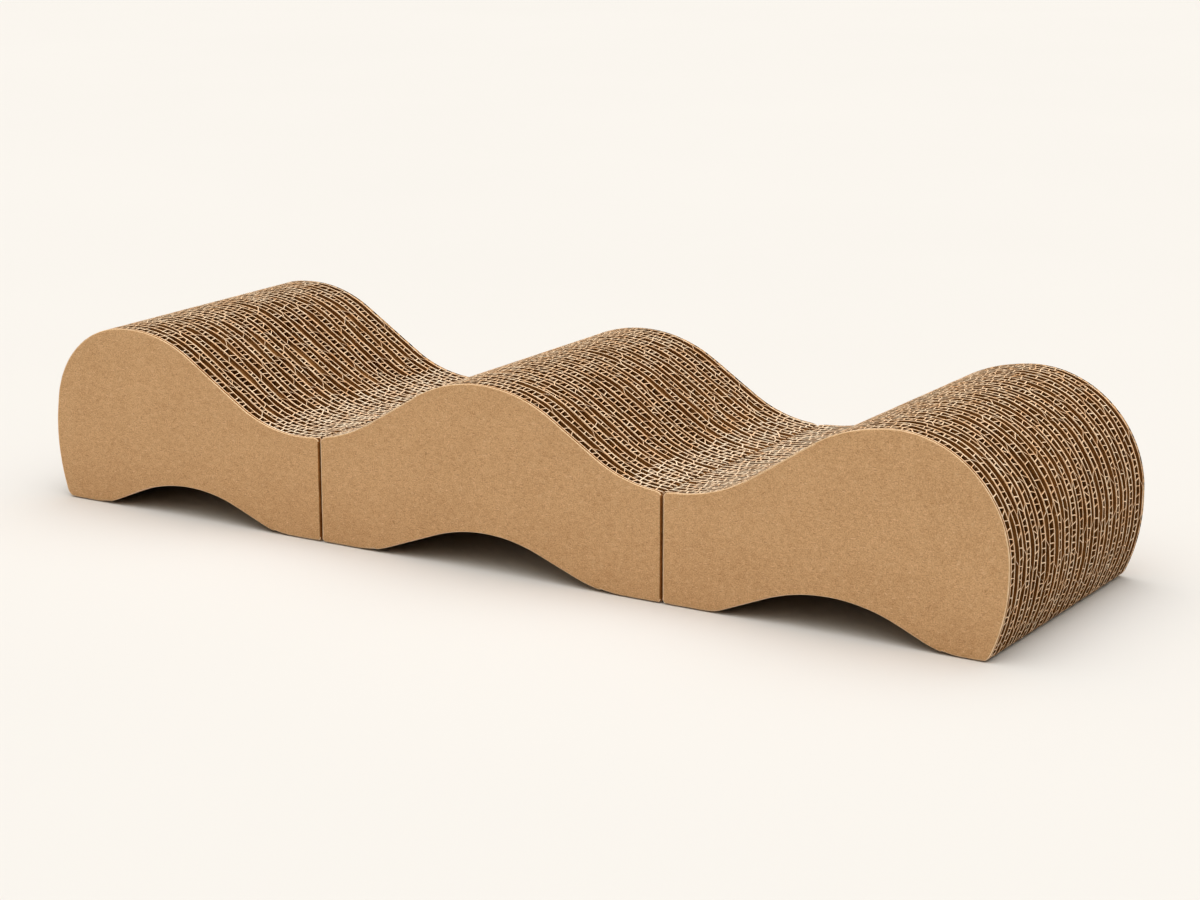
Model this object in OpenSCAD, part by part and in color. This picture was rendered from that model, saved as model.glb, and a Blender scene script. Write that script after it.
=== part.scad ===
// Cardboard cat scratcher: three wavy blocks of die-cut board that stand end to end on the floor.
// X runs along the wave, Y from the front panels to the back panels and Z up. The origin lies on
// the floor, under the middle of the whole length and width.
//
// Each block is a stack across Y: a side panel, then liner papers with a fluted paper between
// each two of them, then the other side panel. The flutes stand upright in every second sheet and
// lie level in the others, so the cut edge shows open cells wherever the outline runs.

/* [Whole] */
// Width over the side panels
width = 230; // [160:5:320]
// Gap between neighbouring blocks
seam_gap = 0.8; // [0.4:0.1:3]
// Corner radius of a block beside a seam
seam_r = 3; // [1:0.5:5]

/* [Board] */
// Thickness of a side panel
panel_t = 2.5; // [1.5:0.5:4]
// Corrugated sheets in each pad
pad_sheets = 6; // [2:1:8]
// Thickness of the liner paper between two fluted papers
liner_t = 0.8; // [0.4:0.1:1.2]
// Thickness of a fluted paper
flute_t = 0.5; // [0.3:0.1:0.8]
// Distance from one flute ridge to the next
flute_pitch = 12; // [10:1:20]
// Thickness of a glue film
glue_t = 0.05; // [0.03:0.01:0.1]

/* [Left block] */
// Length of the left block
left_len = 254; // [240:1:280]
// Height of its crest
left_crest_h = 140; // [130:1:150]
// Distance of its crest from the outer end
left_crest_x = 79; // [76:1:84]
// Radius of its crest
left_crest_r = 99; // [94:1:104]
// Radius of the shoulder between its crest and its outer end
left_shoulder_r = 70; // [66:1:74]
// Height at which its outer end reaches furthest out
left_nose_h = 53; // [50:1:56]
// Radius of its outer end
left_nose_r = 150; // [142:1:158]
// Height of its valley
left_valley_h = 77.6; // [74:0.2:82]
// Distance of its valley from the seam
left_valley_x = 18.5; // [10:0.5:24]
// Radius of its valley
left_valley_r = 103; // [80:1:110]
// Height of the arch under it
left_arch_h = 24; // [16:1:28]
// Distance of the arch's crown from the outer end
left_arch_x = 129; // [124:1:134]
// Radius of the arch's crown
left_arch_r = 123; // [100:1:130]
// Length of the outer foot's flat, from the outer end
left_foot_x = 35; // [32:1:38]
// Radius with which the outer foot rolls into the arch
left_foot_r = 63; // [50:1:68]
// Length of the foot's flat beside the seam
left_seam_foot_x = 28; // [20:1:32]
// Radius with which the foot beside the seam rolls into the arch
left_seam_foot_r = 70; // [50:1:74]

/* [Middle block] */
// Length of the middle block
middle_len = 290; // [284:1:320]
// Height of its crest
middle_crest_h = 135.7; // [126:0.1:144]
// Distance of its crest from the left seam
middle_crest_x = 141.5; // [136:0.5:147]
// Radius of its crest
middle_crest_r = 110; // [90:1:114]
// Height of its left valley
middle_left_valley_h = 78; // [74:0.2:82]
// How far that valley's lowest point lies beyond the left seam
middle_left_valley_x = 17; // [6:0.5:20]
// Radius of its left valley
middle_left_valley_r = 117; // [90:1:120]
// Height of its right valley
middle_right_valley_h = 79.5; // [75:0.5:84]
// How far that valley's lowest point lies beyond the right seam
middle_right_valley_x = 1; // [0:0.5:6]
// Radius of its right valley
middle_right_valley_r = 101; // [80:1:104]
// Height of the arch under it
middle_arch_h = 28; // [20:1:32]
// Distance of the arch's crown from the left seam
middle_arch_x = 144; // [140:1:148]
// Radius of the arch's crown
middle_arch_r = 124; // [100:1:130]
// Length of the left foot's flat
middle_left_foot_x = 31; // [26:1:34]
// Radius with which the left foot rolls into the arch
middle_left_foot_r = 84; // [60:1:88]
// Length of the right foot's flat
middle_right_foot_x = 28; // [22:1:30]
// Radius with which the right foot rolls into the arch
middle_right_foot_r = 120; // [80:1:122]

/* [Right block] */
// Length of the right block
right_len = 256; // [242:1:282]
// Height of its crest
right_crest_h = 145; // [136:1:154]
// Distance of its crest from the outer end
right_crest_x = 83; // [81:1:86]
// Radius of its crest
right_crest_r = 113; // [106:1:118]
// Radius of the shoulder between its crest and its outer end
right_shoulder_r = 82; // [78:1:84]
// Height at which its outer end reaches furthest out
right_nose_h = 58; // [55:1:61]
// Radius of its outer end
right_nose_r = 128; // [122:1:134]
// Height of its valley
right_valley_h = 79.9; // [75:0.1:84]
// Distance of its valley from the seam
right_valley_x = 5; // [4:0.5:20]
// Radius of its valley
right_valley_r = 115; // [90:1:117]
// Height of the arch under it
right_arch_h = 25.4; // [18:0.2:29]
// Distance of the arch's crown from the outer end
right_arch_x = 129.5; // [124:0.5:134]
// Radius of the arch's crown
right_arch_r = 128; // [100:1:132]
// Length of the outer foot's flat, from the outer end
right_foot_x = 30; // [27:1:33]
// Radius with which the outer foot rolls into the arch
right_foot_r = 72; // [60:1:74]
// Length of the foot's flat beside the seam
right_seam_foot_x = 34; // [26:1:38]
// Radius with which the foot beside the seam rolls into the arch
right_seam_foot_r = 24; // [20:1:60]

/* [Feet] */
// Corner radius under the two outer ends
end_foot_r = 8; // [5:0.5:10]

/* [Hidden] */
BLOCKS = ["left", "middle", "right"];
PADS = 6;

// How far a cutting shape reaches past what it cuts
overrun = 5;
// How far a straight edge runs inside the circles that it joins, so that each pair crosses cleanly
graze = 0.02;
// Straight length left between two rounds that would otherwise only touch
straight = 6;
// Inner and outer edge of the sector that a round is cut from, as shares of its radius
sector_in_share = 0.9;
sector_out_share = 1.5;
// How far each sheet's flutes lag behind the sheet before, as a share of their pitch
phase_share = 0.37;

// The stack across Y
sheets = PADS * pad_sheets;
sheet_pitch = (width - 2 * panel_t - 2 * glue_t - liner_t) / sheets;
flute_h = sheet_pitch - liner_t - 2 * glue_t;
first_liner_y = panel_t + glue_t - width / 2;
function liner_y(number) = first_liner_y + (number - 1) * sheet_pitch;

// The row along X
total_len = left_len + middle_len + right_len + 2 * seam_gap;
left_end = -total_len / 2;
middle_start = left_end + left_len + seam_gap;
right_end = total_len / 2;
tallest = max(left_crest_h, middle_crest_h, right_crest_h);

// An outline is a list of rounds, [centre x, centre z, radius], walked with the board on the left
// hand. A round with a radius above zero bulges out of the board, and one below zero cuts into it.
// Straight tangents join each round to the next.
function grazed(radius) = radius > 0 ? radius - graze : radius + graze;
function heading(a, b) = atan2(b[1] - a[1], b[0] - a[0])
    - asin((grazed(b[2]) - grazed(a[2])) / norm([b[0] - a[0], b[1] - a[1]]));
function headings(rounds) = [for (i = [0:len(rounds) - 1]) heading(rounds[i], rounds[(i + 1) % len(rounds)])];
function before(list, i) = list[(i + len(list) - 1) % len(list)];
function full_turn(angle) = angle - 360 * floor(angle / 360);
function on_round(c, radius, angle) = [c[0] + radius * sin(angle), c[1] - radius * cos(angle)];

// The sector of a round's circle that takes in its arc and a little more at each end
module sector(c, from, to) {
    bulges = c[2] > 0;
    lap = 2 * acos(1 - graze / abs(c[2]));
    start = bulges ? from - lap : from + lap;
    turn = bulges ? full_turn(to - from) + 2 * lap : full_turn(to - from) - 360 - 2 * lap;
    intersection() {
        translate([c[0], c[1]])
            circle(abs(c[2]), $fn = 180);
        polygon([
            on_round(c, c[2] * sector_in_share, start),
            on_round(c, c[2] * sector_out_share, start),
            on_round(c, c[2] * sector_out_share, start + turn / 2),
            on_round(c, c[2] * sector_out_share, start + turn),
            on_round(c, c[2] * sector_in_share, start + turn)
        ]);
    }
}

module outline(rounds) {
    turns = headings(rounds);
    count = len(rounds);
    difference() {
        union() {
            polygon([for (i = [0:count - 1]) each [
                on_round(rounds[i], grazed(rounds[i][2]), before(turns, i)),
                on_round(rounds[i], grazed(rounds[i][2]), turns[i])
            ]]);
            for (i = [0:count - 1])
                if (rounds[i][2] > 0) sector(rounds[i], before(turns, i), turns[i]);
        }
        for (i = [0:count - 1])
            if (rounds[i][2] < 0) sector(rounds[i], before(turns, i), turns[i]);
    }
}

// A bulging round that lies under a hollow one, at a known x: the height of its centre
function height_under(c, x, r) = c[1] - sqrt(pow(abs(c[2]) + r, 2) + pow(straight, 2) - pow(c[0] - x, 2));
// A bulging round inside a larger one: how far apart their centres lie
function centre_gap(large, r) = sqrt(pow(large - r, 2) + pow(straight, 2));
// A bulging round inside two larger ones
function inside_both(a, b, r) = let (
    d = [b[0] - a[0], b[1] - a[1]],
    gap_a = centre_gap(a[2], r),
    gap_b = centre_gap(b[2], r),
    along = (gap_a * gap_a - gap_b * gap_b + d * d) / (2 * norm(d)),
    across = sqrt(gap_a * gap_a - along * along)
) [a[0] + (d[0] * along - d[1] * across) / norm(d), a[1] + (d[1] * along + d[0] * across) / norm(d), r];

// The largest radius with which a round can still run straight into the next one, whose radius is
// other. Run is how far apart their outermost points lie along X, and rise how far along Z.
function room_beside(other, run, rise) = (run * run + rise * rise - straight * straight) / (2 * rise) - other;
// A valley beside a crest, and a foot beside an arch: each keeps its own radius where that fits
function valley_at(x, h, r, crest) = let (
    fitting_r = min(r, room_beside(crest[2], abs(x - crest[0]), crest[1] - h))
) [x, h + fitting_r, -fitting_r];
function foot_at(x, r, arch) = let (
    fitting_r = min(r, room_beside(arch[2], abs(x - arch[0]), arch[1]))
) [x, fitting_r, fitting_r];

// Rounds of an end block. X runs from the outer end, at zero, to the seam.
function end_rounds(length, crest, shoulder_r, nose, valley, arch, foot, seam_foot) = let (
    crest_round = [crest[0], crest[1] - crest[2], crest[2]],
    nose_round = [nose[1], nose[0], nose[1]],
    valley_round = valley_at(length - valley[0], valley[1], valley[2], crest),
    corner_x = length - seam_r,
    toe_x = nose[1] - sqrt(pow(centre_gap(nose[1], end_foot_r), 2) - pow(nose[0] - end_foot_r, 2))
) [
    [toe_x, end_foot_r, end_foot_r],
    foot_at(foot[0], foot[1], arch),
    [arch[0], arch[1] - arch[2], -arch[2]],
    foot_at(length - seam_foot[0], seam_foot[1], arch),
    [corner_x, seam_r, seam_r],
    [corner_x, height_under(valley_round, corner_x, seam_r), seam_r],
    valley_round,
    crest_round,
    inside_both(crest_round, nose_round, shoulder_r),
    nose_round
];

left_rounds = end_rounds(left_len,
    [left_crest_x, left_crest_h, left_crest_r], left_shoulder_r, [left_nose_h, left_nose_r],
    [left_valley_x, left_valley_h, left_valley_r], [left_arch_x, left_arch_h, left_arch_r],
    [left_foot_x, left_foot_r], [left_seam_foot_x, left_seam_foot_r]);

right_rounds = end_rounds(right_len,
    [right_crest_x, right_crest_h, right_crest_r], right_shoulder_r, [right_nose_h, right_nose_r],
    [right_valley_x, right_valley_h, right_valley_r], [right_arch_x, right_arch_h, right_arch_r],
    [right_foot_x, right_foot_r], [right_seam_foot_x, right_seam_foot_r]);

middle_crest = [middle_crest_x, middle_crest_h, middle_crest_r];
middle_arch = [middle_arch_x, middle_arch_h, middle_arch_r];
left_valley = valley_at(-middle_left_valley_x, middle_left_valley_h, middle_left_valley_r, middle_crest);
right_valley = valley_at(middle_len + middle_right_valley_x, middle_right_valley_h, middle_right_valley_r,
    middle_crest);
middle_corner_x = middle_len - seam_r;
middle_rounds = [
    [seam_r, seam_r, seam_r],
    foot_at(middle_left_foot_x, middle_left_foot_r, middle_arch),
    [middle_arch_x, middle_arch_h - middle_arch_r, -middle_arch_r],
    foot_at(middle_len - middle_right_foot_x, middle_right_foot_r, middle_arch),
    [middle_corner_x, seam_r, seam_r],
    [middle_corner_x, height_under(right_valley, middle_corner_x, seam_r), seam_r],
    right_valley,
    [middle_crest_x, middle_crest_h - middle_crest_r, middle_crest_r],
    left_valley,
    [seam_r, height_under(left_valley, seam_r, seam_r), seam_r]
];

module block_outline(block) {
    if (block == "left") translate([left_end, 0]) outline(left_rounds);
    if (block == "middle") translate([middle_start, 0]) outline(middle_rounds);
    if (block == "right") translate([right_end, 0]) mirror([1, 0]) outline(right_rounds);
}

// A slab of the block's outline that starts at y and is t thick
module slab(block, y, t) {
    translate([0, y + t, 0])
        rotate([90, 0, 0])
            linear_extrude(t)
                block_outline(block);
}

// Cross-section of a fluted paper. It zigzags along X over a length, between zero and the flute
// height, and its ridges meet the liners on both sides.
function ridge_points(from, to, number) = let (
    lag = flute_pitch * (number * phase_share - floor(number * phase_share)),
    low = flute_t / 2,
    high = flute_h - flute_t / 2
) [for (i = [-1:ceil((to - from) / flute_pitch)]) let (x = from + lag + i * flute_pitch) each [
    [x, low],
    [x + flute_pitch / 2, high]
]];
module fluted_section(from, to, number) {
    centre = ridge_points(from, to, number);
    last = len(centre) - 1;
    polygon(concat(
        [for (p = centre) p + [0, flute_t / 2]],
        [for (i = [0:last]) centre[last - i] - [0, flute_t / 2]]
    ));
}
module upright_flutes(y, number) {
    translate([0, y, -overrun])
        linear_extrude(tallest + 2 * overrun)
            fluted_section(left_end - overrun, right_end + overrun, number);
}
module level_flutes(y, number) {
    translate([right_end + overrun, y, 0])
        rotate([0, -90, 0])
            linear_extrude(total_len + 2 * overrun)
                fluted_section(-overrun, tallest + overrun, number);
}

module front_panel(block) {
    color("#be9467") slab(block, -width / 2, panel_t);
}

module back_panel(block) {
    color("#be9467") slab(block, width / 2 - panel_t, panel_t);
}

// The liners of one pad: one in front of each fluted paper, and one more to close the stack
module liners(block, pad) {
    first = (pad - 1) * pad_sheets + 1;
    last = pad * pad_sheets + (pad == PADS ? 1 : 0);
    color("#e4c093")
        for (number = [first:last])
            slab(block, liner_y(number), liner_t);
}

// The fluted papers of one pad, level in odd sheets and upright in even ones
module flutes(block, pad) {
    color("#a97c50")
        for (number = [(pad - 1) * pad_sheets + 1:pad * pad_sheets]) {
            y = liner_y(number) + liner_t + glue_t;
            intersection() {
                slab(block, y, flute_h);
                if (number % 2 == 0) upright_flutes(y, number);
                else level_flutes(y, number);
            }
        }
}

for (block = BLOCKS) {
    front_panel(block);
    back_panel(block);
    for (pad = [1:PADS]) {
        liners(block, pad);
        flutes(block, pad);
    }
}
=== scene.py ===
import math

import bpy
import numpy as np
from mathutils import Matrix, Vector


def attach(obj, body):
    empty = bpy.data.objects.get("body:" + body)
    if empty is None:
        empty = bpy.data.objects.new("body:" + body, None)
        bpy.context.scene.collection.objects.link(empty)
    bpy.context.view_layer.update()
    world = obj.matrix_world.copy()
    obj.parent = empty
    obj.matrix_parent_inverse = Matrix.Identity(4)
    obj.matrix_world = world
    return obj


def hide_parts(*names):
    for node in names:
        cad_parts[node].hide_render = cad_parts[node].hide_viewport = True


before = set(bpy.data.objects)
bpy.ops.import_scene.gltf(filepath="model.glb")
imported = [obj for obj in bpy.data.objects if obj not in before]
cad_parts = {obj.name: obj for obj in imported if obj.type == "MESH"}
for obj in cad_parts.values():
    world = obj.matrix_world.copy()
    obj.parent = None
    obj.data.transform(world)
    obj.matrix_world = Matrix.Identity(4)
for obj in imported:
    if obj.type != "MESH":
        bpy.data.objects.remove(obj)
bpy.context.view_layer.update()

# Cardboard cat scratcher: three wavy blocks of stacked corrugated board. Every CAD node is replaced by
# a finer piece in the same place: side boards with cut and softened rims, liner papers whose cut edges
# wander a little, and fluted papers whose cut edges form the cells and grooves of the photograph.
# Lengths are in metres. An outline is a closed loop in X and Z, and "along" is a length along it.

MM = 0.001
BLOCKS = ("left", "middle", "right")
# Whether the left and the right end of a block stand in a joint
JOINTS = {"left": (False, True), "middle": (True, True), "right": (True, False)}

# The stack across Y, with the same values as the CAD
WIDTH = 230 * MM
PANEL_T = 2.5 * MM
GLUE_T = 0.05 * MM
LINER_T = 0.8 * MM
PADS = 6
PAD_SHEETS = 6
SHEETS = PADS * PAD_SHEETS
SHEET_PITCH = (WIDTH - 2 * PANEL_T - 2 * GLUE_T - LINER_T) / SHEETS
FIRST_LINER_Y = PANEL_T + GLUE_T - WIDTH / 2


def liner_mid(number):
    """Y of a liner's middle. Liners count from 1 at the front, and sheet 1 lies behind liner 1."""
    return FIRST_LINER_Y + (number - 1) * SHEET_PITCH + LINER_T / 2


def is_upright(sheet):
    """Every other sheet has upright flutes, and the ones between have level flutes."""
    return sheet % 2 == 0


# Colours and nodes

def linear(hex_colour):
    values = [int(hex_colour[start:start + 2], 16) / 255 for start in (1, 3, 5)]
    return [v / 12.92 if v <= 0.04045 else ((v + 0.055) / 1.055) ** 2.4 for v in values] + [1.0]


def add_node(tree, kind, output, inputs, stops=(), **settings):
    """Adds a node and returns one of its outputs. Sockets go by their identifiers, and an input gets a
    value or the output of another node. Stops are the places and colours of a colour ramp."""
    node = tree.nodes.new("ShaderNode" + kind)
    for name, value in settings.items():
        setattr(node, name, value)
    for number, (place, colour) in enumerate(stops):
        node.color_ramp.elements[number].position = place
        node.color_ramp.elements[number].color = linear(colour)
    sockets = {socket.identifier: socket for socket in node.inputs}
    for name, value in inputs.items():
        if isinstance(value, bpy.types.NodeSocket):
            tree.links.new(value, sockets[name])
        else:
            sockets[name].default_value = value
    return next(socket for socket in node.outputs if socket.identifier == output)


def new_material(name, roughness, specular):
    """A dull material of paper fibre, whose IOR is about 1.5, and the place that its patterns go by."""
    material = bpy.data.materials.new(name)
    material.use_nodes = True
    tree = material.node_tree
    shader = tree.nodes["Principled BSDF"]
    shader.inputs["Roughness"].default_value = roughness
    shader.inputs["IOR"].default_value = 1.5
    shader.inputs["Specular IOR Level"].default_value = specular
    return material, tree, shader, add_node(tree, "TexCoord", "Object", {})


# Die-cut kraft board, unbleached and uncoated: dull, warm brown, felted fibres a millimetre long, with darker
# and paler flecks of bark and filler, stray pale fibres, cloudiness from the pulp and a slight darkening
# towards the floor.
def kraft_board():
    material, tree, shader, place = new_material("kraft_board_face", roughness=0.86, specular=0.25)
    lying = add_node(tree, "Mapping", "Vector", {"Vector": place, "Scale": (1.0, 1.0, 1.5)})
    slanted = [add_node(tree, "Mapping", "Vector", {
        "Vector": place, "Rotation": (0.0, turn, 0.0), "Scale": (1.0, 1.0, 4.5)}) for turn in (0.6, -0.9)]

    # The size of each pattern's features, and its detail, roughness and distortion
    patterns = {"height": add_node(tree, "SeparateXYZ", "Z", {"Vector": place})}
    for name, vector, size, detail, roughness, distortion in (
            ("cloud", place, 34 * MM, 4.0, 0.60, 0.0),
            ("mottle", place, 7 * MM, 4.0, 0.65, 0.0),
            ("grain", place, 1 * MM, 2.0, 0.70, 0.0),
            ("fibre", lying, 4.4 * MM, 3.0, 0.60, 0.8),
            ("fleck", place, 3.4 * MM, 2.0, 0.50, 0.6),
            ("hair", slanted[0], 3.2 * MM, 1.0, 0.40, 0.0),
            ("crossing hair", slanted[1], 3.2 * MM, 1.0, 0.40, 0.0)):
        patterns[name] = add_node(tree, "TexNoise", "Fac", {
            "Vector": vector, "Scale": 1 / size, "Detail": detail, "Roughness": roughness,
            "Distortion": distortion})

    # The ground has the two tones of the clouds, and a share of the two tones of each finer pattern
    ground = add_node(tree, "ValToRGB", "Color", {"Fac": patterns["cloud"]},
                      stops=((0.34, "#c59662"), (0.66, "#dbad7a")))
    for name, share, low, high in (
            ("mottle", 0.36, "#bc8d5b", "#deb280"),
            ("grain", 0.60, "#aa7d4f", "#f1c89b"),
            ("fibre", 0.20, "#a97b4e", "#eec59a")):
        tone = add_node(tree, "ValToRGB", "Color", {"Fac": patterns[name]}, stops=((0.34, low), (0.66, high)))
        ground = add_node(tree, "Mix", "Result_Color", {
            "Factor_Float": share, "A_Color": ground, "B_Color": tone}, data_type="RGBA")

    # Each mark begins at one value of its pattern, and covers its full share of the ground at the other
    for name, begins, full, share, colour in (
            ("fleck", 0.30, 0.24, 0.45, "#94683c"),
            ("fleck", 0.63, 0.70, 0.50, "#e0bb90"),
            ("height", 60 * MM, 0.0, 0.12, "#a36a34"),
            ("hair", 0.69, 0.73, 0.70, "#f0cda4"),
            ("hair", 0.32, 0.28, 0.55, "#8f6338"),
            ("crossing hair", 0.69, 0.73, 0.70, "#f0cda4"),
            ("crossing hair", 0.32, 0.28, 0.55, "#8f6338")):
        cover = add_node(tree, "MapRange", "Result", {
            "Value": patterns[name], "From Min": begins, "From Max": full, "To Max": share})
        ground = add_node(tree, "Mix", "Result_Color", {
            "Factor_Float": cover, "A_Color": ground, "B_Color": linear(colour)}, data_type="RGBA")

    tree.links.new(ground, shader.inputs["Base Color"])
    felt = add_node(tree, "Mix", "Result_Float", {
        "Factor_Float": 0.4, "A_Float": patterns["grain"], "B_Float": patterns["fibre"]})
    relief = add_node(tree, "Bump", "Normal", {"Height": felt, "Strength": 0.5, "Distance": 0.2 * MM})
    tree.links.new(relief, shader.inputs["Normal"])
    return material


# Cut board and paper: the torn fibre of a rubbed arris and of the papers' cut edges is paler than the faces,
# and the rim of the board is dark brown as painted shade, all with a fine broken grain.
# Grit is the grain's share in the pattern, and steps are its values at the low and the high tone.
def cut_edge(name, low, high, grain_size=1.1 * MM, grit=0.45, steps=(0.34, 0.62)):
    material, tree, shader, place = new_material(name, roughness=0.9, specular=0.2)
    patch = add_node(tree, "TexNoise", "Fac", {
        "Vector": place, "Scale": 1 / (9 * MM), "Detail": 3.0, "Roughness": 0.6})
    grain = add_node(tree, "TexNoise", "Fac", {
        "Vector": place, "Scale": 1 / grain_size, "Detail": 3.0, "Roughness": 0.7})
    blend = add_node(tree, "Mix", "Result_Float", {"Factor_Float": grit, "A_Float": patch, "B_Float": grain})
    tone = add_node(tree, "ValToRGB", "Color", {"Fac": blend}, stops=zip(steps, (low, high)))
    tree.links.new(tone, shader.inputs["Base Color"])
    relief = add_node(tree, "Bump", "Normal", {"Height": grain, "Strength": 0.5, "Distance": 0.15 * MM})
    tree.links.new(relief, shader.inputs["Normal"])
    return material


# The faces of the recycled liner and fluting papers inside the board: thin brown paper, smooth along the
# machine direction, that light reaches only from the cut surface. Their tones are set darker than the paper,
# as painted shade, and lighter in the copies for the lip and the gutters, as painted light.
def inner_paper(name, low, high):
    material, tree, shader, place = new_material(name, roughness=0.92, specular=0.15)
    patch = add_node(tree, "TexNoise", "Fac", {
        "Vector": place, "Scale": 1 / (7 * MM), "Detail": 3.0, "Roughness": 0.6})
    grain = add_node(tree, "TexNoise", "Fac", {
        "Vector": place, "Scale": 1 / (1.4 * MM), "Detail": 2.0, "Roughness": 0.6})
    blend = add_node(tree, "Mix", "Result_Float", {"Factor_Float": 0.4, "A_Float": patch, "B_Float": grain})
    tone = add_node(tree, "ValToRGB", "Color", {"Fac": blend}, stops=((0.36, low), (0.64, high)))
    tree.links.new(tone, shader.inputs["Base Color"])
    return material


BOARD_FACE = kraft_board()
BOARD_ARRIS = cut_edge("kraft_board_arris", "#e3bf94", "#f8dcb8")
# The rim of a board is dark brown: painted shade, as in the gap of a joint
BOARD_RIM_SHADE = cut_edge("kraft_board_rim_painted_shade", "#6e421a", "#a46d35")
# The far rim is ragged: pale tongues of fibre, with near-black gaps between them that are painted shade
BACK_RIM_FIBRE_AND_SHADE = cut_edge("kraft_board_far_rim_fibre_and_shade", "#2a1606", "#c99c6b", 2.8 * MM, 0.9, (0.47, 0.53))
PAPER_EDGE = cut_edge("paper_cut_edge", "#e7af7a", "#ffe6c8")
# Worn edges are paler and less saturated: wear, and painted sheen on level ground
WORN_EDGE_AND_SHEEN = cut_edge("paper_worn_edge_and_sheen", "#efbf93", "#ffeed6")
# The top of the walls is coloured lighter than the paper: painted light falling into the cells
PAPER_LIP_LIT = inner_paper("paper_wall_lip_painted_light", "#7a4f24", "#a0723f")
# The walls are coloured darker than the paper itself: painted shade of the deep cells
LINER_FACE_SHADED = inner_paper("liner_paper_face_painted_shade", "#6a4116", "#8b5b2a")
FLUTE_FACE_SHADED = inner_paper("fluting_paper_face_painted_shade", "#633b12", "#855523")
# A lighter copy of the fluting paper for the gutters in the grooves: painted light
GUTTER_FACE_LIT = inner_paper("fluting_paper_gutter_painted_light", "#6a431c", "#8e6133")


# Outlines from the CAD panels

SAME_PLACE = 0.001 * MM   # corners closer than this are one
OUTLINE_STEP = 0.5 * MM   # between the points that an outline keeps
CORE_BLUR = 0.8 * MM      # how far the corners of the core are rounded
BOARD_BLUR = 2.3 * MM     # and those of the side boards, which are rounder
GROOVE_SLOPES = (0.22, 0.42)            # sines of the slopes at which grooves begin and are full
CREST_HEIGHTS = (108 * MM, 125 * MM)    # heights at which crests begin and are full
CREST_REST = 0.65         # how much less worn the crests are than the dips
SEAM_CORNER = 3.05 * MM   # the round corners of the CAD blocks at the joints reach this far
CORE_SHOULDER = 60 * MM   # and the top ones lie above this height

# Points below a convex round go no deeper than a share of its radius, so that they never meet. Beside
# the round this limit grows slowly, as far as its reach
ROUND_SHARE = 0.7
DEEPEST = 30 * MM
ROUND_REACH = 40 * MM
ROUND_FADE = 0.55         # growth of the limit for a length along the outline


def front_loop(node):
    """The outline of a side panel's front face, walked with the board on the left hand."""
    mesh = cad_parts[node].data
    corners = np.empty(len(mesh.vertices) * 3)
    mesh.vertices.foreach_get("co", corners)
    corners = corners.reshape(-1, 3)
    keys, member = np.unique(np.round(corners / SAME_PLACE).astype(np.int64), axis=0, return_inverse=True)
    member = member.reshape(-1)
    places = np.zeros((len(keys), 3))
    places[member] = corners
    front_y = corners[:, 1].min()
    # Two faces walk the edge between them in opposite directions, so only the outline's edges stay
    edges = {}
    for polygon in mesh.polygons:
        ring = [int(member[vertex]) for vertex in polygon.vertices]
        if max(abs(places[corner][1] - front_y) for corner in ring) > SAME_PLACE:
            continue
        for start, end in zip(ring, ring[1:] + ring[:1]):
            if (end, start) in edges:
                del edges[(end, start)]
            else:
                edges[(start, end)] = True
    follow = {start: end for start, end in edges}
    first = next(iter(follow))
    loop = [first]
    while follow[loop[-1]] != first:
        loop.append(follow[loop[-1]])
    points = places[loop][:, [0, 2]]
    after = np.roll(points, -1, axis=0)
    area = 0.5 * np.sum(points[:, 0] * after[:, 1] - after[:, 0] * points[:, 1])
    return points if area > 0 else points[::-1]


def squared(points, block):
    """The outline with square top corners at the joints, so that the core runs on from block to block."""
    for in_joint, sign in zip(JOINTS[block], (-1, 1)):
        if not in_joint:
            continue
        edge = sign * (sign * points[:, 0]).max()
        near = (np.abs(points[:, 0] - edge) < SEAM_CORNER) & (points[:, 1] > CORE_SHOULDER)
        first = np.flatnonzero(near & ~np.roll(near, 1))[0]
        points, near = np.roll(points, -first, axis=0), np.roll(near, -first)
        points = points[np.count_nonzero(near):]
        inner, beyond = points[[0, 1]] if sign > 0 else points[[-1, -2]]
        rise = (inner[1] - beyond[1]) / (inner[0] - beyond[0])
        points = np.vstack([[edge, inner[1] + rise * (edge - inner[0])], points])
    return points


def smoothstep(low, high, value):
    share = np.clip((value - low) / (high - low), 0, 1)
    return share * share * (3 - 2 * share)


def grooved(slope):
    """How far the sheets with upright flutes show as long grooves: not at all on level ground."""
    return smoothstep(*GROOVE_SLOPES, slope)


def evenly(length, count):
    return np.arange(count) * length / count


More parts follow.
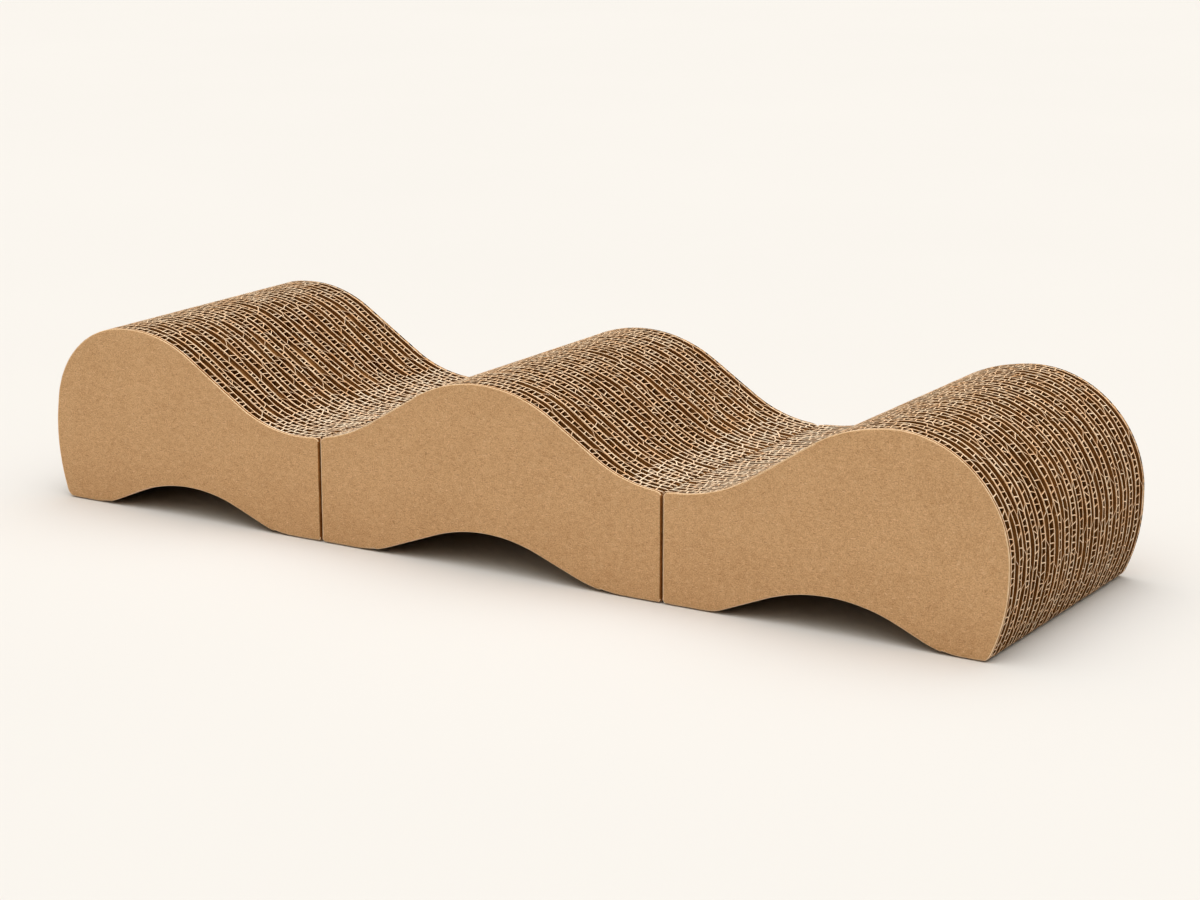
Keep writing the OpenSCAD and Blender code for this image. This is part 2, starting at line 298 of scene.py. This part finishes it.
class Outline:
    """A closed outline measured by the length along it, with how worn the cut edges are: fully in the dips
    where a cat lies and scratches, a little on the crests and not on the slopes. The same share makes the
    edges paler, partly as painted sheen on level ground."""

    def __init__(self, points, blur):
        closed = np.vstack([points, points[:1]])
        walked = np.concatenate([[0], np.cumsum(np.linalg.norm(np.diff(closed, axis=0), axis=1))])
        self.length = walked[-1]
        self.count = int(round(self.length / OUTLINE_STEP))
        along = evenly(self.length, self.count)
        xz = np.stack([np.interp(along, walked, closed[:, axis]) for axis in (0, 1)], axis=1)
        reach = int(4 * blur / OUTLINE_STEP)
        shifts = np.arange(-reach, reach + 1)
        weights = np.exp(-0.5 * (shifts * OUTLINE_STEP / blur) ** 2)
        weights /= weights.sum()
        xz = sum(weight * np.roll(xz, shift, axis=0) for weight, shift in zip(weights, shifts))
        tangent = np.roll(xz, -1, axis=0) - np.roll(xz, 1, axis=0)
        tangent /= np.linalg.norm(tangent, axis=1)[:, None]
        self.xz = xz
        self.normal = np.stack([tangent[:, 1], -tangent[:, 0]], axis=1)
        self.slope = np.abs(tangent[:, 1])
        crest = smoothstep(*CREST_HEIGHTS, xz[:, 1])
        self.wear = (1 - grooved(self.slope)) * (1 - CREST_REST * crest)
        bend = np.cross(np.roll(tangent, 1, axis=0), np.roll(tangent, -1, axis=0))
        bend /= 2 * self.length / self.count
        room = np.minimum(ROUND_SHARE / np.maximum(bend, 1e-3), DEEPEST)
        for shift in range(1, int(ROUND_REACH / OUTLINE_STEP)):
            beside = np.minimum(np.roll(room, shift), np.roll(room, -shift))
            room = np.minimum(room, beside + ROUND_FADE * shift * OUTLINE_STEP)
        self.room = room

    def at(self, table, along):
        """The values of a table with one row for each point of the outline, at lengths along it."""
        place = np.mod(along, self.length) / self.length * self.count
        low = np.floor(place).astype(int) % self.count
        share = place - np.floor(place)
        if table.ndim > 1:
            share = share[:, None]
        return table[low] * (1 - share) + table[(low + 1) % self.count] * share

    def inward(self, along, depth):
        """Points at a depth below the outline, in X and Z."""
        depth = np.minimum(depth, self.at(self.room, along))
        return self.at(self.xz, along) - self.at(self.normal, along) * depth[:, None]


LOOPS = {block: front_loop(block + "_front_panel") for block in BLOCKS}
CORE_OUTLINES = {block: Outline(squared(LOOPS[block], block), CORE_BLUR) for block in BLOCKS}
BOARD_OUTLINES = {block: Outline(LOOPS[block], BOARD_BLUR) for block in BLOCKS}


# Noise and meshes

def smooth_noise(rng, length, run):
    """Periodic noise along an outline, from -1 to 1, with one random value about every run."""
    count = max(4, int(round(length / run)))
    values = rng.uniform(-1, 1, count)

    def value(along):
        place = np.mod(along, length) / length * count
        low = np.floor(place).astype(int) % count
        share = smoothstep(0, 1, place - np.floor(place))
        return values[low] * (1 - share) + values[(low + 1) % count] * share
    return value


def xyz(xz, y):
    return np.stack([xz[:, 0], np.broadcast_to(y, len(xz)), xz[:, 1]], axis=1)


class Mesh:
    """Gathers rings of points, quads and caps, and makes one object of them."""

    def __init__(self):
        self.points, self.quads, self.quad_finishes, self.caps = [], [], [], []
        self.total = 0

    def add_points(self, points):
        """Adds points and returns the number of the first one."""
        first = self.total
        self.points.append(points)
        self.total += len(points)
        return first

    def add_quads(self, quads, finish):
        self.quads.append(quads)
        self.quad_finishes.append(np.broadcast_to(np.int32(finish), len(quads)))

    def strip(self, lower, upper, count, finish, flip=False):
        """Quads between two closed rings, which go by their first points."""
        here = np.arange(count)
        after = (here + 1) % count
        quads = np.stack([lower + here, lower + after, upper + after, upper + here], axis=1)
        self.add_quads(quads[:, ::-1] if flip else quads, finish)

    def cap(self, first, count, finish, flip=False):
        ring = np.arange(first, first + count)
        self.caps.append((ring[::-1] if flip else ring, finish))

    def build(self, name, materials):
        points = np.vstack(self.points)
        quads = np.vstack(self.quads)
        corners = np.concatenate([quads.reshape(-1)] + [ring for ring, finish in self.caps])
        sizes = np.array([4] * len(quads) + [len(ring) for ring, finish in self.caps])
        starts = np.concatenate([[0], np.cumsum(sizes)[:-1]])
        finishes = np.concatenate(self.quad_finishes + [[finish] for ring, finish in self.caps])
        mesh = bpy.data.meshes.new(name)
        mesh.vertices.add(len(points))
        mesh.vertices.foreach_set("co", points.reshape(-1))
        mesh.loops.add(len(corners))
        mesh.loops.foreach_set("vertex_index", corners.astype(np.int32))
        mesh.polygons.add(len(sizes))
        mesh.polygons.foreach_set("loop_start", starts.astype(np.int32))
        mesh.polygons.foreach_set("material_index", finishes.astype(np.int32))
        for material in materials:
            mesh.materials.append(material)
        mesh.update(calc_edges=True)
        mesh.validate()
        mesh.polygons.foreach_set("use_smooth", [False] * len(mesh.polygons))
        piece = bpy.data.objects.new(name, mesh)
        bpy.context.scene.collection.objects.link(piece)
        return piece


# Side boards

SIDES = {"front": -1, "back": 1}
BOARD_STEP = 1.2 * MM     # between the points round a board
ROUND = 0.95 * MM         # the pressed and rubbed edge of a side board
ROUND_ANGLES = (0, 22, 45, 67, 90)
INNER_ROUND = 0.3 * MM    # its edge against the core
NICK = 0.08 * MM          # how uneven the round is
NICK_RUN = 9 * MM
FOOT_GAP = 0.9 * MM       # the boards end short of the floor and of the joints
JOINT_GAP = 0.55 * MM
SOLE = 2 * MM             # the soles of the feet lie below this height
BOARD_SEED = 11
# Places in a board's list of materials
ON_FACE, ON_ARRIS, ON_SHADED_RIM = range(3)


def make_board(block, word):
    """A side board with a cut rim: the blade leaves a small soft round on its outer edge."""
    side = SIDES[word]
    outline = BOARD_OUTLINES[block]
    count = int(outline.length / BOARD_STEP)
    along = evenly(outline.length, count)
    rng = np.random.default_rng(BOARD_SEED + BLOCKS.index(block) * 2 + (side > 0))
    nick = smooth_noise(rng, outline.length, NICK_RUN)(along) * NICK
    outer = side * WIDTH / 2
    inner = side * (WIDTH / 2 - PANEL_T)
    normal, place = outline.at(outline.normal, along), outline.at(outline.xz, along)
    # The boards are cut a little short, so the core carries the load at the feet and butts in the joints
    short = FOOT_GAP * smoothstep(0.90, 0.99, -normal[:, 1]) * (place[:, 1] < SOLE)
    for in_joint, sign in zip(JOINTS[block], (-1, 1)):
        short += in_joint * JOINT_GAP * smoothstep(0.98, 0.999, sign * normal[:, 0])
    levels = []
    for angle in ROUND_ANGLES:
        turn = math.radians(angle)
        depth = ROUND * (1 - math.sin(turn)) + nick * math.cos(turn)
        levels.append((depth, outer - side * ROUND * (1 - math.cos(turn))))
    levels.append((np.zeros(count), inner + side * INNER_ROUND))
    levels.append((np.full(count, INNER_ROUND), inner))
    mesh = Mesh()
    rings = [mesh.add_points(xyz(outline.inward(along, depth + short), y)) for depth, y in levels]
    # The round of a front board is rubbed pale, and the pale is placed as painted highlight, as if lit from
    # the left: widest at edges that face left, narrowest on top, and not at a right end that stands in a
    # joint, which gets the rim's painted shade instead. A back board's stays brown.
    finishes = [ON_FACE, ON_FACE, ON_SHADED_RIM, ON_SHADED_RIM, ON_SHADED_RIM, ON_SHADED_RIM]
    if side < 0:
        rubbed = np.where((normal[:, 0] > 0.9) & JOINTS[block][1], ON_SHADED_RIM, ON_ARRIS)
        finishes[:4] = [np.where(normal[:, 0] < -0.5, ON_ARRIS, ON_FACE),
                        np.where(normal[:, 1] > 0.3, ON_FACE, rubbed), rubbed, rubbed]
    for lower, upper, finish in zip(rings, rings[1:], finishes):
        mesh.strip(lower, upper, count, finish, flip=side < 0)
    mesh.cap(rings[0], count, ON_FACE, flip=side < 0)
    mesh.cap(rings[-1], count, ON_FACE, flip=side > 0)
    rim = BOARD_RIM_SHADE if side < 0 else BACK_RIM_FIBRE_AND_SHADE
    return mesh.build(f"{block}_{word}_board", [BOARD_FACE, BOARD_ARRIS, rim])


# The corrugated core

EDGE_T = 0.94 * MM        # cut edge of a liner, with its glued neighbours
RIB_T = 0.68 * MM         # cut edge of a fluted paper
WORN_SPREAD = 0.2         # how much thicker a worn edge is
LAP = 0.12 * MM           # from a liner's middle to the paper that lies on it
DEEP = 9.0 * MM           # how far below the cut surface the papers are drawn
FUZZ = 0.16 * MM          # how far down the walls are coloured lighter: painted light where it falls into the top of the cells
LIP = 0.6 * MM            # how far down the walls are bleached by light and wear
CREASE = 0.05 * MM        # the soft edge at the very top
GROOVE_SHIFT = 0.25 * MM  # how far each liner gives way to the grooves on the slopes
THINNER = 0.40            # how much thinner an upright flute is there
MIDWAY = 0.22             # how far an upright flute keeps off the liners there, as a share of the way
# Rings of a paper below the cut: depth, how much deeper where paws wear level ground (which also spreads the
# painted sheen and painted light there), share of the width
LINER_RINGS = ((DEEP, 0.0, 0.55), (LIP, 0.6, 0.75), (FUZZ, 1.9, 0.90), (CREASE, 0.0, 1.0), (0.0, 0.0, 0.88))
FLUTE_RINGS = ((DEEP, 0.0, 0.70), (LIP, 0.6, 0.80), (FUZZ, 1.9, 0.92), (CREASE, 0.0, 1.0), (0.0, 0.0, 0.85))
# Places in a paper's list of materials. Liners have no gutter
ON_EDGE, ON_SHADED_WALL, ON_LIT_LIP, ON_WORN_AND_SHEEN, ON_LIT_GUTTER = range(5)
WANDER_SEED = 101
LINER_SEED = 1000
FLUTE_SEED = 5000
BLOCK_SEEDS = 100         # seeds kept for the sheets of one block


class Wander:
    """How far the cut edges of the liners of one block stray from their nominal places."""

    NEIGHBOURS = 4            # liners that sway together
    SHARED = 1.45 * MM
    SHARED_RUN = 62 * MM
    OWN = 1.35 * MM
    OWN_RUN = 21 * MM
    FINE = 0.24 * MM
    FINE_RUN = 8 * MM
    # No two liners come closer than the first, so every cell stays open a little, or much further apart
    # than the second
    LEAST, MOST = 2.1 * MM, 7.6 * MM
    EVENED = 6                # times that too small and too large gaps are evened out
    HELD = 3                  # liners next to each board that sway less, and the outermost doesn't

    def __init__(self, block):
        outline = CORE_OUTLINES[block]
        rng = np.random.default_rng(WANDER_SEED + BLOCKS.index(block))
        length = outline.length
        shared = [smooth_noise(rng, length, self.SHARED_RUN) for _ in range(SHEETS // self.NEIGHBOURS + 3)]
        own = [smooth_noise(rng, length, self.OWN_RUN) for _ in range(SHEETS + 1)]
        fine = [smooth_noise(rng, length, self.FINE_RUN) for _ in range(SHEETS + 1)]
        along = evenly(length, outline.count)
        rows = []
        for number in range(1, SHEETS + 2):
            group, share = divmod((number - 1) / self.NEIGHBOURS, 1)
            group = int(group)
            sway = self.SHARED * (shared[group](along) * (1 - share) + shared[group + 1](along) * share)
            sway += self.OWN * own[number - 1](along) + self.FINE * fine[number - 1](along)
            held = min(1.0, (number - 1) / self.HELD, (SHEETS + 1 - number) / self.HELD)
            give = (-1 if is_upright(number) else 1) * (1 < number <= SHEETS)
            rows.append(liner_mid(number) + sway * held + give * GROOVE_SHIFT * grooved(outline.slope))
        rows = np.array(rows)
        for _ in range(self.EVENED):
            gap = np.diff(rows, axis=0)
            push = (np.maximum(self.LEAST - gap, 0) - np.maximum(gap - self.MOST, 0)) / 2
            rows[1:-1] += push[:-1] - push[1:]
        self.rows = rows
        self.outline = outline

    def at(self, number, along, depth):
        """Y of a liner's middle at a depth: straight again at the full depth."""
        nominal = liner_mid(number)
        top = self.outline.at(self.rows[number - 1], along)
        share = 1 - smoothstep(0.15, 1.0, depth / DEEP)
        return nominal + (top - nominal) * share


WANDER = {block: Wander(block) for block in BLOCKS}


def add_walls(mesh, rings, count, worn):
    """The two walls of a paper and the cut edge between them, from its rings on the -Y and +Y side."""
    edge = np.where(worn > 0.5, ON_WORN_AND_SHEEN, ON_EDGE)
    for sign in (-1, 1):
        for lower, upper, finish in zip(rings[sign], rings[sign][1:], (ON_SHADED_WALL, ON_LIT_LIP, edge, edge)):
            mesh.strip(lower, upper, count, finish, flip=sign > 0)
    mesh.strip(rings[-1][-1], rings[1][-1], count, edge)


LINER_STEP = 1.7 * MM     # between the points round a liner
LINER_BURR, LINER_BURR_RUN = 0.05 * MM, 5 * MM
LINER_UNEVEN, LINER_UNEVEN_RUN = 0.26, 11 * MM


def make_liners(block, pad):
    outline, wander = CORE_OUTLINES[block], WANDER[block]
    count = int(outline.length / LINER_STEP)
    along = evenly(outline.length, count)
    worn = outline.at(outline.wear, along)
    mesh = Mesh()
    last = pad * PAD_SHEETS + (1 if pad == PADS else 0)
    for number in range((pad - 1) * PAD_SHEETS + 1, last + 1):
        rng = np.random.default_rng(LINER_SEED + BLOCKS.index(block) * BLOCK_SEEDS + number)
        burr = (1 + smooth_noise(rng, outline.length, LINER_BURR_RUN)(along)) * LINER_BURR
        uneven = 1 + LINER_UNEVEN * smooth_noise(rng, outline.length, LINER_UNEVEN_RUN)(along)
        thick = EDGE_T * (1 + WORN_SPREAD * worn) * uneven
        rings = {-1: [], 1: []}
        for ring_depth, wear, share in LINER_RINGS:
            depth = ring_depth * (1 + wear * worn) + burr * (ring_depth <= FUZZ)
            for sign in (-1, 1):
                y = wander.at(number, along, depth) + sign * thick * share / 2
                rings[sign].append(mesh.add_points(xyz(outline.inward(along, depth), y)))
        add_walls(mesh, rings, count, worn)
        for sign in (-1, 1):
            mesh.cap(rings[sign][0], count, ON_SHADED_WALL, flip=sign < 0)
    return mesh.build(f"{block}_liner_papers_{pad}", [PAPER_EDGE, LINER_FACE_SHADED, PAPER_LIP_LIT, WORN_EDGE_AND_SHEEN])


LEVEL_CELL, LEVEL_CROSSING = 4.4 * MM, 1.6 * MM
UPRIGHT_CELL, UPRIGHT_CROSSING = 5.4 * MM, 1.8 * MM
GROOVE_CELL, GROOVE_CROSSING = 34 * MM, 8.5 * MM
MOOD_RUN = 60 * MM
PRESSED = 0.09            # share of the level cells that are pressed out long
FIRST_CELL_WITHIN = 4 * MM
LAST_CELL_BEFORE = 3 * MM


def crossings(rng, outline, sheet):
    """The middle and the length of each place where a fluted paper crosses from one liner to the other,
    walked once round the outline. An upright sheet has long cells on the slopes, where its mood allows,
    and a level sheet has some cells pressed out long."""
    places = []
    along = rng.uniform(0, FIRST_CELL_WITHIN)
    mood = smooth_noise(rng, outline.length, MOOD_RUN)
    while along < outline.length - LAST_CELL_BEFORE:
        if is_upright(sheet):
            slope = outline.at(outline.slope, np.array([along]))[0]
            stretch = grooved(slope) * smoothstep(-1.0, -0.7, mood(along))
            cell = (UPRIGHT_CELL * (1 - stretch) + GROOVE_CELL * stretch) * rng.uniform(0.45, 1.7)
            crossing = (UPRIGHT_CROSSING * (1 - stretch) + GROOVE_CROSSING * stretch) * rng.uniform(0.7, 1.3)
        else:
            cell = LEVEL_CELL * rng.uniform(0.72, 1.4)
            if rng.uniform() < PRESSED:
                cell = rng.uniform(8, 14) * MM
            crossing = LEVEL_CROSSING * rng.uniform(0.7, 1.4)
        places.append((along + cell / 2, min(crossing, cell * 0.8)))
        along += cell
    if len(places) % 2:
        places.pop()
    return places


def flute_path(places, along):
    """Side to side place of the paper, from -1 to 1."""
    path = np.full(len(along), -1.0)
    for number, (middle, crossing) in enumerate(places):
        share = np.clip((along - middle) / crossing + 0.5, 0, 1)
        step = share * share * share * (10 + share * (6 * share - 15))
        path += (2 if number % 2 == 0 else -2) * step
    return path


FLUTE_STEP = 3 * MM
CROSSING_SHARES = np.array([-0.46, -0.27, -0.12, 0.0, 0.12, 0.27, 0.46])
STATION_GRID = 0.05 * MM
CLOSEST_STATIONS = 0.22 * MM
CLOSEST_TO_START = 0.3 * MM


def flute_stations(places, length):
    """Lengths along the outline at which a fluted paper has its points: dense where it crosses."""
    wanted = [np.arange(0, length, FLUTE_STEP)]
    for middle, crossing in places:
        wanted.append(middle + crossing * CROSSING_SHARES)
    on_grid = np.round(np.mod(np.concatenate(wanted), length) / STATION_GRID).astype(int)
    along = np.unique(on_grid) * STATION_GRID
    along = along[np.concatenate([[True], np.diff(along) > CLOSEST_STATIONS])]
    return along[:-1] if length - along[-1] < CLOSEST_TO_START else along


SLIVER_SPACING = 26 * MM
SLIVER_T = 0.22 * MM
SLIVER_SINK = 0.15 * MM   # how far below the cut surface a sliver has its root
SLIVER_STAND = 0.3 * MM   # and how far from the middle of the liner


def add_slivers(mesh, rng, block, number):
    """Torn fibres of paper that stand off the cut edges into the cells, drooping and thinning out."""
    outline, wander = CORE_OUTLINES[block], WANDER[block]
    count = int(outline.length / SLIVER_SPACING)
    root = rng.uniform(0, outline.length, count)
    side = rng.choice([-1.0, 1.0], count)
    run = rng.uniform(-1.9, 1.9, count) * MM
    reach = rng.uniform(0.5, 1.9, count) * MM
    drop = rng.uniform(-0.1, 1.1, count) * MM
    half_width = rng.uniform(0.16, 0.34, count) * MM
    stations = []
    for share in (0.0, 0.35, 0.7, 1.0):
        along = root + run * share
        depth = SLIVER_SINK + drop * share * share
        edge = np.where(side > 0, wander.at(number, along, depth), wander.at(number + 1, along, depth))
        y = edge + side * (SLIVER_STAND + reach * share * (1.6 - 0.6 * share))
        half = half_width * (1 - 0.55 * share)
        top, under = outline.inward(along, depth), outline.inward(along, depth + SLIVER_T)
        corners = ((top, -half), (top, half), (under, half), (under, -half))
        stations.append([mesh.add_points(xyz(xz, y + offset)) for xz, offset in corners])
    every = np.arange(count)
    quads = [np.stack([near[c] + every, near[(c + 1) % 4] + every,
                       far[(c + 1) % 4] + every, far[c] + every], axis=1)
             for near, far in zip(stations, stations[1:]) for c in range(4)]
    quads += [np.stack([first + every for first in end], axis=1) for end in (stations[0], stations[-1])]
    mesh.add_quads(np.vstack(quads), ON_EDGE)


GUTTER_T = 0.3 * MM
GUTTER_DEPTH, GUTTER_SWELL = 5 * MM, 2.3 * MM
GUTTER_RUN, LEAN_RUN = 34 * MM, 48 * MM
LEAST_BANK = 0.8 * MM     # the sides of a gutter begin at least this far down
LEVEL_FLOOR = 7 * MM      # the dark floor that closes the cells in a level sheet, a sheet of painted shade
# Places across a gutter, the side that each belongs to, and how far down from it to the middle
GUTTER_SECTION = ((0.0, 0, 0.0), (0.22, 0, 0.75), (0.5, 0, 1.0), (0.78, 1, 0.75), (1.0, 1, 0.0))


def add_gutter(mesh, rng, outline, wander, number, along):
    """The paper seen down in a row: a shallow gutter in an upright flute, lighter where it lies in a groove
    as painted light, else the dark floor of the cells, a sheet of painted shade that closes them. It is a
    closed band with a top and an underside."""
    count = len(along)
    floor_depth = (DEEP if is_upright(number) else LEVEL_FLOOR) - GUTTER_T
    share = grooved(outline.at(outline.slope, along)) * is_upright(number)
    middle = GUTTER_DEPTH + GUTTER_SWELL * smooth_noise(rng, outline.length, GUTTER_RUN)(along)
    lean = smooth_noise(rng, outline.length, LEAN_RUN)(along)
    banks = [np.maximum(middle * (0.48 + 0.34 * sign * lean), LEAST_BANK) for sign in (-1, 1)]
    tops, unders = [], []
    for across, bank, fall in GUTTER_SECTION:
        depth = banks[bank] + (middle - banks[bank]) * fall
        depth = floor_depth * (1 - share) + depth * share
        y = wander.at(number, along, depth) * (1 - across) + wander.at(number + 1, along, depth) * across
        tops.append(mesh.add_points(xyz(outline.inward(along, depth), y)))
        unders.append(mesh.add_points(xyz(outline.inward(along, depth + GUTTER_T), y)))
    lit = np.where(share > 0.5, ON_LIT_GUTTER, ON_SHADED_WALL)
    for left, right in zip(tops, tops[1:]):
        mesh.strip(left, right, count, lit)
    for left, right in zip(unders, unders[1:]):
        mesh.strip(left, right, count, ON_SHADED_WALL, flip=True)
    mesh.strip(unders[0], tops[0], count, ON_SHADED_WALL)
    mesh.strip(tops[-1], unders[-1], count, ON_SHADED_WALL)


FLUTE_BURR, FLUTE_BURR_SWELL, FLUTE_BURR_RUN = 0.10 * MM, 0.09 * MM, 4 * MM
FLUTE_UNEVEN, FLUTE_UNEVEN_RUN = 0.3, 7 * MM


def make_flutes(block, pad):
    outline, wander = CORE_OUTLINES[block], WANDER[block]
    mesh = Mesh()
    for number in range((pad - 1) * PAD_SHEETS + 1, pad * PAD_SHEETS + 1):
        rng = np.random.default_rng(FLUTE_SEED + BLOCKS.index(block) * BLOCK_SEEDS + number)
        places = crossings(rng, outline, number)
        along = flute_stations(places, outline.length)
        count = len(along)
        burr = FLUTE_BURR + FLUTE_BURR_SWELL * smooth_noise(rng, outline.length, FLUTE_BURR_RUN)(along)
        worn = outline.at(outline.wear, along)
        uneven = 1 + FLUTE_UNEVEN * smooth_noise(rng, outline.length, FLUTE_UNEVEN_RUN)(along)
        thick = RIB_T * (1 + WORN_SPREAD * worn) * uneven
        path = flute_path(places, along)
        if is_upright(number):
            # Cut along its length, the paper keeps a little off the liners, and looks thinner
            groove = grooved(outline.at(outline.slope, along))
            path *= 1 - MIDWAY * groove
            thick *= 1 - THINNER * groove
        # The paper's thickness is measured across its own run, so slanted walls stay as thin
        forward = np.mod(np.roll(along, -1) - np.roll(along, 1), outline.length)
        rings = {-1: [], 1: []}
        for ring_depth, wear, share in FLUTE_RINGS:
            depth = ring_depth * (1 + wear * worn) + burr * (ring_depth <= FUZZ)
            near = wander.at(number, along, depth) + LAP
            far = wander.at(number + 1, along, depth) - LAP
            y = (near + far) / 2 + path * (far - near) / 2
            across = np.roll(y, -1) - np.roll(y, 1)
            run = np.sqrt(across * across + forward * forward)
            for sign in (-1, 1):
                off = sign * thick * share / 2
                xz = outline.inward(along - across / run * off, depth)
                rings[sign].append(mesh.add_points(xyz(xz, y + forward / run * off)))
        add_walls(mesh, rings, count, worn)
        mesh.strip(rings[-1][0], rings[1][0], count, ON_SHADED_WALL, flip=True)
        add_gutter(mesh, rng, outline, wander, number, along[:count // 2 * 2:2])
        add_slivers(mesh, rng, block, number)
    materials = [PAPER_EDGE, FLUTE_FACE_SHADED, PAPER_LIP_LIT, WORN_EDGE_AND_SHEEN, GUTTER_FACE_LIT]
    return mesh.build(f"{block}_fluting_papers_{pad}", materials)


for block in BLOCKS:
    body = block + "_block"
    for word in SIDES:
        piece = make_board(block, word)
        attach(piece, body)
        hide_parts(f"{block}_{word}_panel")
    for pad in range(1, PADS + 1):
        piece = make_liners(block, pad)
        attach(piece, body)
        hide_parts(f"{block}_liners_{pad}")
        piece = make_flutes(block, pad)
        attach(piece, body)
        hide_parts(f"{block}_flutes_{pad}")


# Floor

# Matt studio paper: even and almost white, with clouds of 0.6 m that hardly show, so it only carries
# the shadow.
def studio_paper():
    material, tree, shader, place = new_material("studio_paper", roughness=1.0, specular=0.0)
    cloud = add_node(tree, "TexNoise", "Fac", {
        "Vector": place, "Scale": 1 / (600 * MM), "Detail": 2.0, "Roughness": 0.5})
    tone = add_node(tree, "ValToRGB", "Color", {"Fac": cloud}, stops=((0.3, "#e1dfdf"), (0.7, "#e2e0e0")))
    tree.links.new(tone, shader.inputs["Base Color"])
    return material


FLOOR_REACH = 30.0
floor_corners = [(x * FLOOR_REACH, y * FLOOR_REACH, 0) for x, y in ((-1, -1), (1, -1), (1, 1), (-1, 1))]
floor_mesh = bpy.data.meshes.new("floor")
floor_mesh.from_pydata(floor_corners, [], [(0, 1, 2, 3)])
floor_mesh.materials.append(studio_paper())
floor = bpy.data.objects.new("floor", floor_mesh)
bpy.context.scene.collection.objects.link(floor)

# Light

DOME_STRENGTH = 3.03
DOME_FALL_OFF = 3.0

# A soft dome that is brightest overhead, and fades to nothing and gets warmer towards the horizon
world = bpy.data.worlds.new("studio")
world.use_nodes = True
tree = world.node_tree
dome = tree.nodes["Background"]
direction = add_node(tree, "TexCoord", "Generated", {})
height = add_node(tree, "SeparateXYZ", "Z", {"Vector": direction})
above = add_node(tree, "Math", "Value", {"Value": height, "Value_001": 0.0}, operation="MAXIMUM")
fading = add_node(tree, "Math", "Value", {"Value": above, "Value_001": DOME_FALL_OFF}, operation="POWER")
strength = add_node(tree, "Math", "Value", {
    "Value": fading, "Value_001": DOME_STRENGTH}, operation="MULTIPLY")
warmth = add_node(tree, "ValToRGB", "Color", {"Fac": height}, stops=((0.4, "#fff8dd"), (1.0, "#ffffff")))
tree.links.new(strength, dome.inputs["Strength"])
tree.links.new(warmth, dome.inputs["Color"])
bpy.context.scene.world = world

# A weak, warm and very soft sun from the front
sun_data = bpy.data.lights.new("fill", "SUN")
sun_data.energy = 0.27
sun_data.color = (1.0, 0.88, 0.70)
sun_data.angle = math.radians(60)
sun = bpy.data.objects.new("fill", sun_data)
sun.rotation_euler = Vector((0.0, -0.70, 0.70)).to_track_quat("Z", "Y").to_euler()
bpy.context.scene.collection.objects.link(sun)

# Camera

# The photograph's viewing angle, the point that the camera looks at, and how far from it it stands
AZIMUTH, ELEVATION = math.radians(31.847), math.radians(14.21)
TARGET = Vector((95.0, -115.0, 102.3)) * MM
DISTANCE = 1986.3 * MM

behind = Vector((math.sin(AZIMUTH) * math.cos(ELEVATION), -math.cos(AZIMUTH) * math.cos(ELEVATION),
                 math.sin(ELEVATION)))
camera_data = bpy.data.cameras.new("camera")
camera_data.lens = 87.0
camera_data.sensor_width = 36.0
camera_data.sensor_fit = "HORIZONTAL"
camera_data.clip_end = 100.0
camera = bpy.data.objects.new("camera", camera_data)
camera.location = TARGET + behind * DISTANCE
camera.rotation_euler = behind.to_track_quat("Z", "Y").to_euler()
bpy.context.scene.collection.objects.link(camera)
bpy.context.scene.camera = camera
bpy.context.scene.view_settings.view_transform = "Standard"
